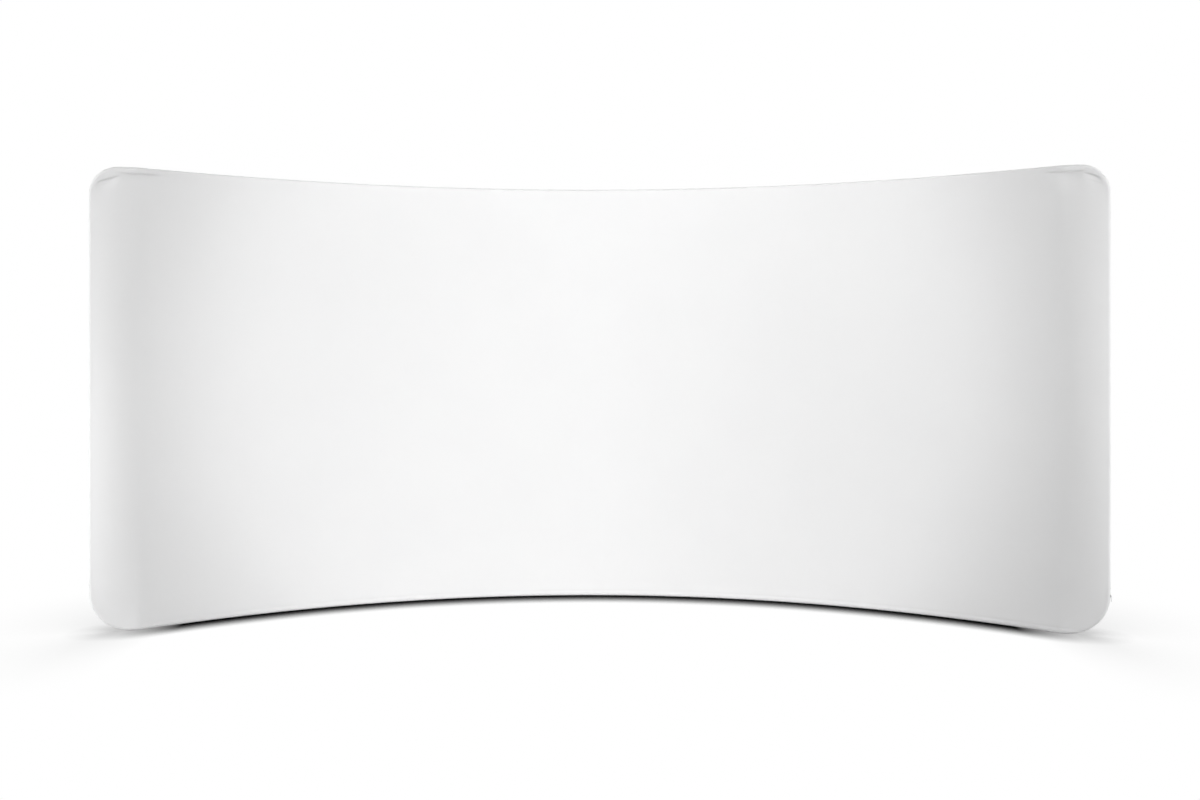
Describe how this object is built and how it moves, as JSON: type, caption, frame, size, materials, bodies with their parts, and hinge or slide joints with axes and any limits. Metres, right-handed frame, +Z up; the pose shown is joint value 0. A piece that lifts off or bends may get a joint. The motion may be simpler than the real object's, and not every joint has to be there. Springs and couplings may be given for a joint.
{
  "type": "display backwall",
  "caption": "Curved freestanding display wall: a plug-together aluminium tube frame inside a white stretch fabric cover with rounded corners, zipped along the bottom.",
  "frame": {"origin": "on the floor, below the middle of the wall's bottom edge, on the flat underside of the zip", "axes": "+Z up; +X along the wall to the right as seen from the front; the hollow front faces -Y"},
  "size_m": [5.0037, 0.8456, 2.3],
  "materials": {
    "cover_fabric": "matt white knitted stretch polyester",
    "zip_tape": "white woven zip tape",
    "zip_coil": "white nylon coil",
    "zip_metal": "plated zinc",
    "tube": "satin mill-finish tube",
    "fitting": "cast and satin",
    "spring_steel": "bright spring steel"
  },
  "bodies": {
    "wall": {"bottom_rail_left_inner": "tube", "bottom_rail_left_outer": "tube", "bottom_rail_right_inner": "tube", "bottom_rail_right_outer": "tube", "top_rail_left_inner": "tube", "top_rail_left_outer": "tube", "top_rail_right_inner": "tube", "top_rail_right_outer": "tube", "bottom_tee_left": "fitting", "bottom_tee_centre": "fitting", "bottom_tee_right": "fitting", "top_tee_left": "fitting", "top_tee_centre": "fitting", "top_tee_right": "fitting", "bottom_corner_left": "tube", "bottom_corner_right": "tube", "top_corner_left": "tube", "top_corner_right": "tube", "upright_left_lower": "tube", "upright_left_upper": "tube", "upright_right_lower": "tube", "upright_right_upper": "tube", "post_left_lower": "tube", "post_left_upper": "tube", "post_centre_lower": "tube", "post_centre_upper": "tube", "post_right_lower": "tube", "post_right_upper": "tube", "front_panel": "cover_fabric", "back_panel": "cover_fabric", "edge_seam": "cover_fabric", "zip_tape_front": "zip_tape", "zip_tape_back": "zip_tape", "zip_coil": "zip_coil", "zip_stops": "zip_metal"},
    "post_button_left_lower": {"post_button_left_lower": "spring_steel"},
    "post_button_left_middle": {"post_button_left_middle": "spring_steel"},
    "post_button_left_upper": {"post_button_left_upper": "spring_steel"},
    "post_button_centre_lower": {"post_button_centre_lower": "spring_steel"},
    "post_button_centre_middle": {"post_button_centre_middle": "spring_steel"},
    "post_button_centre_upper": {"post_button_centre_upper": "spring_steel"},
    "post_button_right_lower": {"post_button_right_lower": "spring_steel"},
    "post_button_right_middle": {"post_button_right_middle": "spring_steel"},
    "post_button_right_upper": {"post_button_right_upper": "spring_steel"},
    "upright_button_left_lower": {"upright_button_left_lower": "spring_steel"},
    "upright_button_left_middle": {"upright_button_left_middle": "spring_steel"},
    "upright_button_left_upper": {"upright_button_left_upper": "spring_steel"},
    "upright_button_right_lower": {"upright_button_right_lower": "spring_steel"},
    "upright_button_right_middle": {"upright_button_right_middle": "spring_steel"},
    "upright_button_right_upper": {"upright_button_right_upper": "spring_steel"},
    "rail_button_bottom_left": {"rail_button_bottom_left": "spring_steel"},
    "rail_button_bottom_right": {"rail_button_bottom_right": "spring_steel"},
    "rail_button_top_left": {"rail_button_top_left": "spring_steel"},
    "rail_button_top_right": {"rail_button_top_right": "spring_steel"},
    "zip_slider": {"zip_slider": "zip_metal"},
    "zip_pull": {"zip_pull": "zip_metal"}
  },
  "joints": [
    {"name": "post_button_left_lower_press", "type": "slide", "parent": "wall", "child": "post_button_left_lower", "axis": [0.9497, 0.3132, 0], "range_m": [0, 0.0043], "stiffness_N_per_m": 1200, "springref_m": -0.002},
    {"name": "post_button_left_middle_press", "type": "slide", "parent": "wall", "child": "post_button_left_middle", "axis": [0.9497, 0.3132, 0], "range_m": [0, 0.0043], "stiffness_N_per_m": 1200, "springref_m": -0.002},
    {"name": "post_button_left_upper_press", "type": "slide", "parent": "wall", "child": "post_button_left_upper", "axis": [0.9497, 0.3132, 0], "range_m": [0, 0.0043], "stiffness_N_per_m": 1200, "springref_m": -0.002},
    {"name": "post_button_centre_lower_press", "type": "slide", "parent": "wall", "child": "post_button_centre_lower", "axis": [-1, 0, 0], "range_m": [0, 0.0043], "stiffness_N_per_m": 1200, "springref_m": -0.002},
    {"name": "post_button_centre_middle_press", "type": "slide", "parent": "wall", "child": "post_button_centre_middle", "axis": [-1, 0, 0], "range_m": [0, 0.0043], "stiffness_N_per_m": 1200, "springref_m": -0.002},
    {"name": "post_button_centre_upper_press", "type": "slide", "parent": "wall", "child": "post_button_centre_upper", "axis": [-1, 0, 0], "range_m": [0, 0.0043], "stiffness_N_per_m": 1200, "springref_m": -0.002},
    {"name": "post_button_right_lower_press", "type": "slide", "parent": "wall", "child": "post_button_right_lower", "axis": [-0.9497, 0.3132, 0], "range_m": [0, 0.0043], "stiffness_N_per_m": 1200, "springref_m": -0.002},
    {"name": "post_button_right_middle_press", "type": "slide", "parent": "wall", "child": "post_button_right_middle", "axis": [-0.9497, 0.3132, 0], "range_m": [0, 0.0043], "stiffness_N_per_m": 1200, "springref_m": -0.002},
    {"name": "post_button_right_upper_press", "type": "slide", "parent": "wall", "child": "post_button_right_upper", "axis": [-0.9497, 0.3132, 0], "range_m": [0, 0.0043], "stiffness_N_per_m": 1200, "springref_m": -0.002},
    {"name": "upright_button_left_lower_press", "type": "slide", "parent": "wall", "child": "upright_button_left_lower", "axis": [-0.9681, -0.2504, 0], "range_m": [0, 0.0043], "stiffness_N_per_m": 1200, "springref_m": -0.002},
    {"name": "upright_button_left_middle_press", "type": "slide", "parent": "wall", "child": "upright_button_left_middle", "axis": [-0.9681, -0.2504, 0], "range_m": [0, 0.0043], "stiffness_N_per_m": 1200, "springref_m": -0.002},
    {"name": "upright_button_left_upper_press", "type": "slide", "parent": "wall", "child": "upright_button_left_upper", "axis": [-0.9681, -0.2504, 0], "range_m": [0, 0.0043], "stiffness_N_per_m": 1200, "springref_m": -0.002},
    {"name": "upright_button_right_lower_press", "type": "slide", "parent": "wall", "child": "upright_button_right_lower", "axis": [0.9681, -0.2504, 0], "range_m": [0, 0.0043], "stiffness_N_per_m": 1200, "springref_m": -0.002},
    {"name": "upright_button_right_middle_press", "type": "slide", "parent": "wall", "child": "upright_button_right_middle", "axis": [0.9681, -0.2504, 0], "range_m": [0, 0.0043], "stiffness_N_per_m": 1200, "springref_m": -0.002},
    {"name": "upright_button_right_upper_press", "type": "slide", "parent": "wall", "child": "upright_button_right_upper", "axis": [0.9681, -0.2504, 0], "range_m": [0, 0.0043], "stiffness_N_per_m": 1200, "springref_m": -0.002},
    {"name": "rail_button_bottom_left_press", "type": "slide", "parent": "wall", "child": "rail_button_bottom_left", "axis": [0, 0, -1], "range_m": [0, 0.0043], "stiffness_N_per_m": 1200, "springref_m": -0.002},
    {"name": "rail_button_bottom_right_press", "type": "slide", "parent": "wall", "child": "rail_button_bottom_right", "axis": [0, 0, -1], "range_m": [0, 0.0043], "stiffness_N_per_m": 1200, "springref_m": -0.002},
    {"name": "rail_button_top_left_press", "type": "slide", "parent": "wall", "child": "rail_button_top_left", "axis": [0, 0, 1], "range_m": [0, 0.0043], "stiffness_N_per_m": 1200, "springref_m": -0.002},
    {"name": "rail_button_top_right_press", "type": "slide", "parent": "wall", "child": "rail_button_top_right", "axis": [0, 0, 1], "range_m": [0, 0.0043], "stiffness_N_per_m": 1200, "springref_m": -0.002},
    {"name": "zip_slide", "type": "hinge", "parent": "wall", "child": "zip_slider", "pos_m": [2.3065, -0.76631, 0.1975], "axis": [0.2504, 0.9681, 0], "range_deg": [0, 50]},
    {"name": "pull_swing", "type": "hinge", "parent": "zip_slider", "child": "zip_pull", "pos_m": [2.50176, -0.81681, 0.1975], "axis": [-0.2504, -0.9681, 0], "range_deg": [0, 170]}
  ]
}
